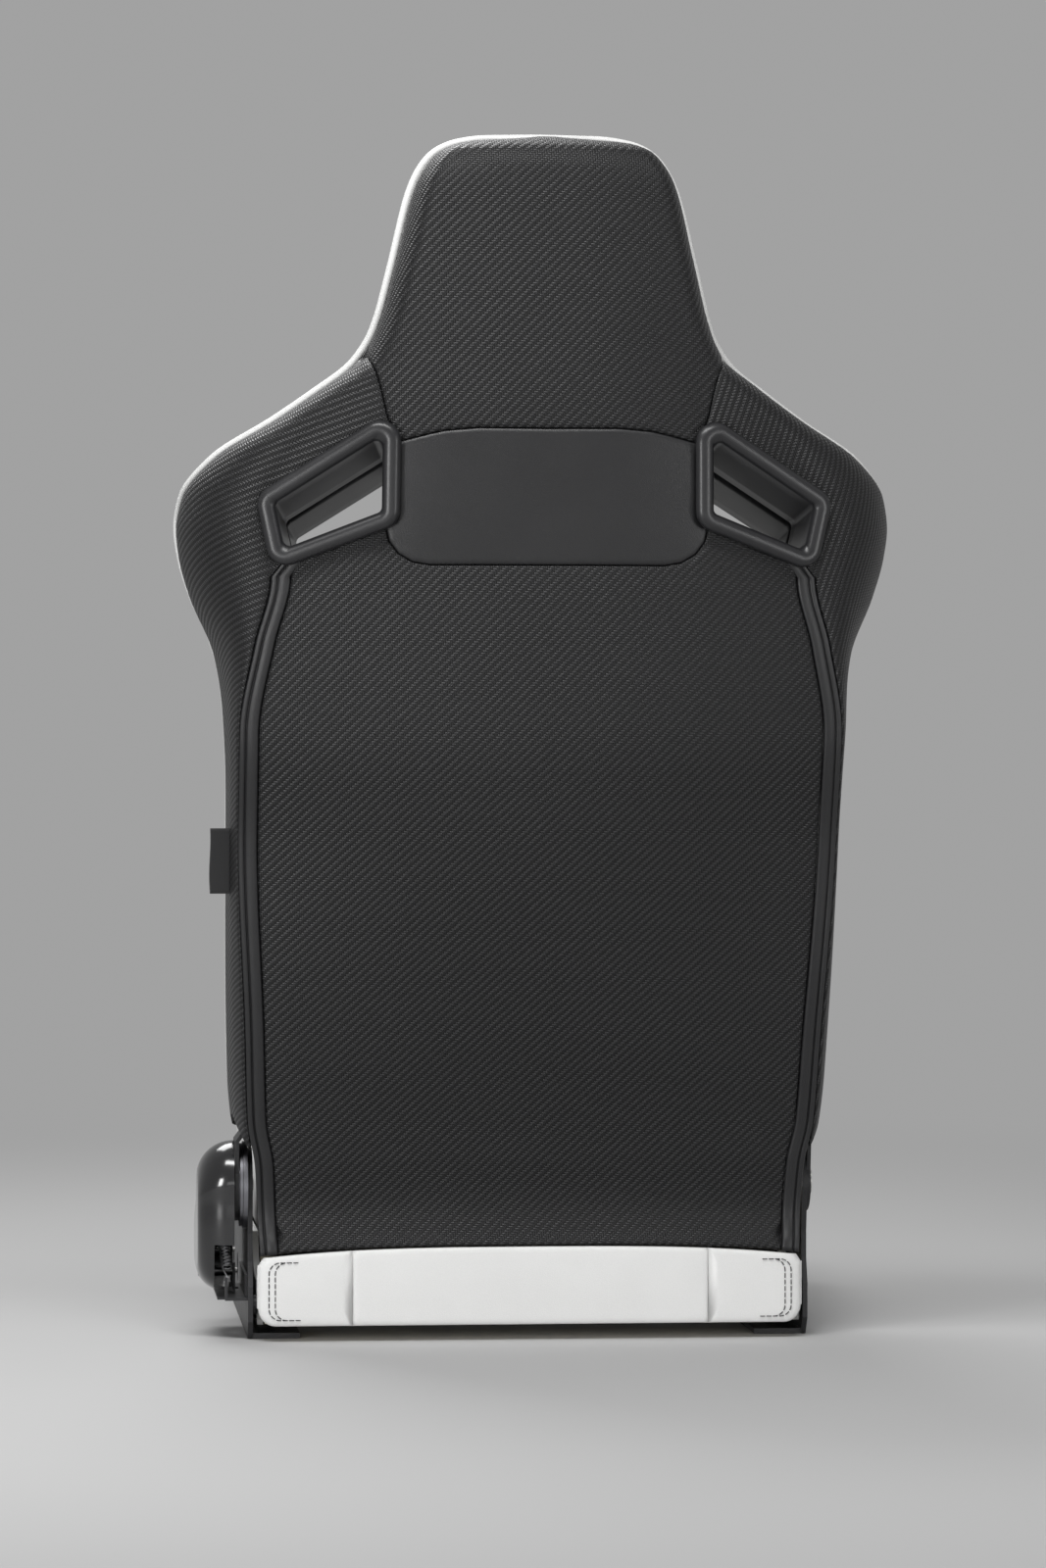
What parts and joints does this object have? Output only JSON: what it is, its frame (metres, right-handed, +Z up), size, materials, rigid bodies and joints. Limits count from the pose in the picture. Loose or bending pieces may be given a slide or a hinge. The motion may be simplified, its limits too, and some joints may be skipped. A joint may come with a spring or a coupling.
{
  "type": "reclining sport seat",
  "caption": "Reclining sport seat with bolstered cushion and back, two slanted harness openings, tube frame on bolt-down side plates and a round recliner with a release lever.",
  "frame": {"origin": "centre of the four base mounting holes, on the mounting face under the side plates", "axes": "+Z up, the occupant faces -Y, +X is the occupant's left, the recliner side"},
  "size_m": [0.576, 0.7269, 0.9522],
  "materials": {
    "white_leatherette": "satin",
    "carbon_leatherette": "satin",
    "yoke_leatherette": "satin",
    "black_leatherette": "satin",
    "foam": "matte",
    "black_plastic": "satin",
    "black_steel": "satin",
    "zinc_steel": "satin",
    "spring_steel": "satin",
    "recliner_steel": "satin",
    "black_webbing": "matte"
  },
  "bodies": {
    "base": {"base_plate_left": "black_steel", "base_plate_right": "black_steel", "front_cross_tube": "black_steel", "rear_cross_tube": "black_steel", "lower_rear_tube": "black_steel", "seat_springs": "spring_steel", "weld_nuts": "zinc_steel", "rear_filler_foam": "foam", "cushion_insert": "white_leatherette", "cushion_bolster_left": "white_leatherette", "cushion_bolster_right": "white_leatherette", "thigh_roll": "white_leatherette", "rear_band": "white_leatherette", "side_skirt_left": "white_leatherette", "side_skirt_right": "white_leatherette", "front_skirt": "white_leatherette", "recliner_base_half": "recliner_steel", "slave_hinge_pin": "zinc_steel", "recliner_cover": "black_plastic", "cover_bracket": "black_steel", "cover_screws": "zinc_steel", "lever_return_spring": "spring_steel"},
    "backrest": {"recliner_back_half": "recliner_steel", "recliner_arm": "black_steel", "slave_arm": "black_steel", "arm_bolts": "zinc_steel", "side_tube_left": "black_steel", "side_tube_right": "black_steel", "shoulder_tube": "black_steel", "lower_back_tube": "black_steel", "head_post_left": "black_steel", "head_post_right": "black_steel", "head_top_tube": "black_steel", "wing_wire_left": "black_steel", "wing_wire_right": "black_steel", "back_springs": "spring_steel", "back_insert": "white_leatherette", "torso_bolster_left": "white_leatherette", "torso_bolster_right": "white_leatherette", "shoulder_pad_left": "white_leatherette", "shoulder_pad_right": "white_leatherette", "yoke_front_pad": "white_leatherette", "head_pad": "white_leatherette", "head_panel": "carbon_leatherette", "yoke_panel": "yoke_leatherette", "lower_panel": "carbon_leatherette", "wing_panel_left": "carbon_leatherette", "wing_panel_right": "carbon_leatherette", "zip_strips": "black_leatherette", "zip_pulls": "zinc_steel", "edge_piping": "white_leatherette", "bezel_rear_left": "black_plastic", "bezel_rear_right": "black_plastic", "bezel_front_left": "black_plastic", "bezel_front_right": "black_plastic", "side_tab": "black_webbing", "recliner_clock_spring": "spring_steel"},
    "lever": {"release_shaft": "zinc_steel", "release_lever": "black_steel", "lever_grip": "black_plastic"}
  },
  "joints": [
    {"name": "recline", "type": "hinge", "parent": "base", "child": "backrest", "pos_m": [0, 0.218, 0.122], "axis": [-1, 0, 0], "range_deg": [-20, 75]},
    {"name": "recline_lever", "type": "hinge", "parent": "base", "child": "lever", "pos_m": [0, 0.218, 0.122], "axis": [-1, 0, 0], "range_deg": [0, 25], "stiffness_Nm_per_rad": 4, "springref_deg": -8.59, "deforming": ["lever_return_spring"]}
  ]
}
